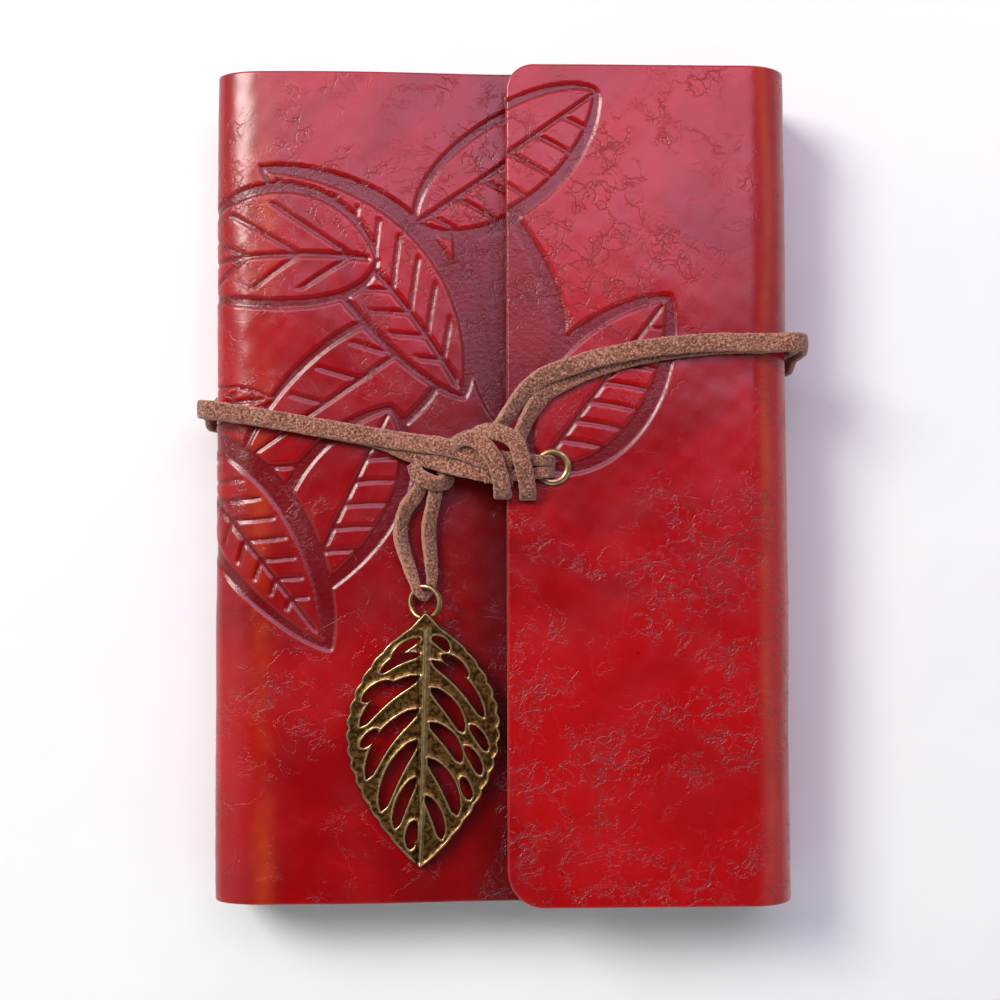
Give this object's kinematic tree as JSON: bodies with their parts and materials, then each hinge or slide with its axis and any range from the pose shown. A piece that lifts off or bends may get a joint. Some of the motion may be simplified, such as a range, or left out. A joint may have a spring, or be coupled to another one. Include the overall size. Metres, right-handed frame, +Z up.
{
  "type": "leather notebook cover",
  "caption": "Refillable ring journal in a soft leather wrap cover with an embossed front, a fold-over flap tied by a suede lace, an eyelet and a brass leaf pendant",
  "frame": {"origin": "middle of the closed book's footprint, on the surface that the back cover lies on", "axes": "+X from the spine to the fore edge, +Y to the head of the book, +Z up from the back cover to the front cover"},
  "size_m": [0.136, 0.185, 0.0338],
  "materials": {
    "red_leather": "satin",
    "ring_steel": "polished",
    "antique_brass": "antique",
    "page_paper": "matte",
    "brown_suede": "matte"
  },
  "bodies": {
    "back": {"back_cover": "red_leather", "lace_back_run": "brown_suede"},
    "spine_panel": {"spine": "red_leather", "ring_base_plate": "ring_steel", "spine_rivets": "antique_brass", "spine_rivet_backs": "antique_brass", "lace_spine_turn": "brown_suede"},
    "front": {"front_cover": "red_leather", "lace_left_run": "brown_suede", "lace_hitch": "brown_suede", "lace_tail_loop": "brown_suede", "jump_ring": "antique_brass"},
    "upper_rings": {"upper_ring_blade": "ring_steel", "upper_ring_halves": "ring_steel"},
    "lower_rings": {"lower_ring_blade": "ring_steel", "lower_ring_halves": "ring_steel"},
    "pages": {"page_stack_body": "page_paper"},
    "fore_edge": {"fore_edge_strip": "red_leather", "lace_fore_edge_turn": "brown_suede"},
    "flap_panel": {"flap": "red_leather", "eyelet": "antique_brass", "eyelet_washer": "antique_brass", "lace_right_run": "brown_suede", "lace_knot": "brown_suede", "lace_eyelet_end": "brown_suede", "lace_stopper_knot": "brown_suede"},
    "leaf": {"leaf_pendant": "antique_brass"}
  },
  "joints": [
    {"name": "spine_fold", "type": "hinge", "parent": "back", "child": "spine_panel", "pos_m": [-0.063, 0, 0.001], "axis": [0, -1, 0], "range_deg": [0, 80], "deforming": ["lace_spine_turn"]},
    {"name": "front_cover_fold", "type": "hinge", "parent": "spine_panel", "child": "front", "pos_m": [-0.063, 0, 0.0216], "axis": [0, -1, 0], "range_deg": [0, 80]},
    {"name": "pages_turn", "type": "hinge", "parent": "spine_panel", "child": "pages", "pos_m": [-0.0527, 0, 0.0113], "axis": [0, -1, 0], "range_deg": [-80, 0]},
    {"name": "upper_ring_open", "type": "hinge", "parent": "spine_panel", "child": "upper_rings", "pos_m": [-0.0595, 0, 0.017], "axis": [0, -1, 0], "range_deg": [0, 5], "stiffness_Nm_per_rad": 0.3, "springref_deg": -5.73},
    {"name": "lower_ring_open", "type": "hinge", "parent": "spine_panel", "child": "lower_rings", "pos_m": [-0.0595, 0, 0.0056], "axis": [0, -1, 0], "range_deg": [-5, 0]},
    {"name": "fore_edge_fold", "type": "hinge", "parent": "back", "child": "fore_edge", "pos_m": [0.063, 0, 0.001], "axis": [0, 1, 0], "range_deg": [0, 80], "deforming": ["lace_fore_edge_turn"]},
    {"name": "flap_fold", "type": "hinge", "parent": "fore_edge", "child": "flap_panel", "pos_m": [0.063, 0, 0.027], "axis": [0, 1, 0], "range_deg": [0, 80]},
    {"name": "leaf_swing", "type": "hinge", "parent": "front", "child": "leaf", "pos_m": [-0.0168, -0.0302, 0.0253], "axis": [0, -0.0384, 0.9993], "range_deg": [-20, 20]}
  ],
  "couplings": [
    {"joint": "front_cover_fold", "follows": "spine_fold", "ratio": 1},
    {"joint": "pages_turn", "follows": "spine_fold", "ratio": -1},
    {"joint": "lower_ring_open", "follows": "upper_ring_open", "ratio": -1},
    {"joint": "flap_fold", "follows": "fore_edge_fold", "ratio": 1}
  ]
}
